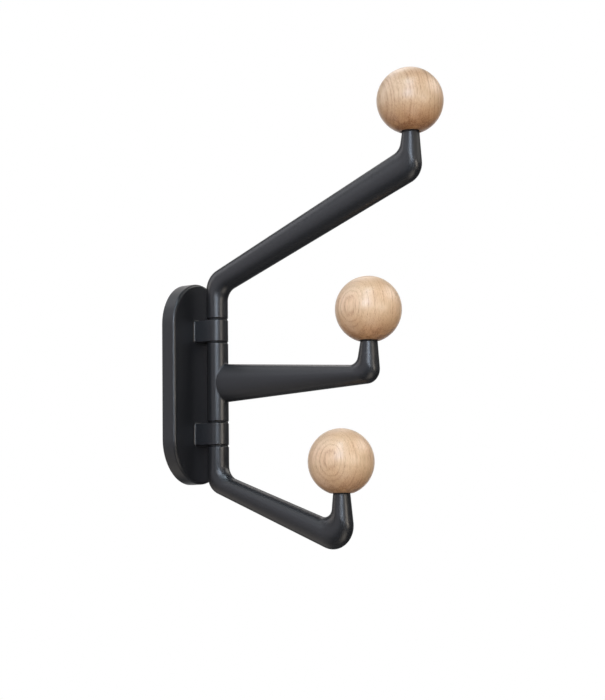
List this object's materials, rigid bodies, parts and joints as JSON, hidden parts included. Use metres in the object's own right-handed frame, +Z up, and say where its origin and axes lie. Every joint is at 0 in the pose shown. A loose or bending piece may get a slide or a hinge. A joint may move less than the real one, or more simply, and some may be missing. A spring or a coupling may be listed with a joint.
{
  "type": "swivel coat hook",
  "caption": "Wall hook with arms that swivel on an upright pivot in front of an oblong back plate, each arm ending in a wooden ball.",
  "frame": {"origin": "middle of the wall bracket's back face, on the wall, at the middle of the back plate", "axes": "+Y into the wall, +Z up, +X to the right for someone who faces the wall; the arms at rest point straight out along -Y"},
  "size_m": [0.0554, 0.1845, 0.2846],
  "materials": {
    "coated_metal": "dark grey powder coat, fine satin texture",
    "steel": "zinc plated",
    "nylon": "black, matt",
    "brass": "plain",
    "oak": "light oak, clear satin oil"
  },
  "bodies": {
    "mounting": {"back_plate": "coated_metal", "wall_bracket": "steel", "plate_lock_screw": "steel", "pivot_rod": "steel", "upper_knuckle_screw": "steel", "lower_knuckle_screw": "steel"},
    "upper_swivel": {"upper_arm": "coated_metal", "upper_arm_bush": "nylon", "upper_arm_screw": "steel", "upper_stud": "steel", "upper_insert": "brass", "upper_washer": "nylon", "upper_ball": "oak"},
    "middle_swivel": {"middle_arm": "coated_metal", "middle_arm_upper_bush": "nylon", "middle_arm_lower_bush": "nylon", "middle_stud": "steel", "middle_insert": "brass", "middle_washer": "nylon", "middle_ball": "oak"},
    "lower_swivel": {"lower_arm": "coated_metal", "lower_arm_bush": "nylon", "lower_arm_screw": "steel", "lower_stud": "steel", "lower_insert": "brass", "lower_washer": "nylon", "lower_ball": "oak"}
  },
  "joints": [
    {"name": "upper_arm_turn", "type": "hinge", "parent": "mounting", "child": "upper_swivel", "pos_m": [0, -0.0227, 0], "axis": [0, 0, 1], "range_deg": [-90, 90]},
    {"name": "middle_arm_turn", "type": "hinge", "parent": "mounting", "child": "middle_swivel", "pos_m": [0, -0.0227, 0], "axis": [0, 0, 1], "range_deg": [-90, 90]},
    {"name": "lower_arm_turn", "type": "hinge", "parent": "mounting", "child": "lower_swivel", "pos_m": [0, -0.0227, 0], "axis": [0, 0, 1], "range_deg": [-90, 90]}
  ]
}
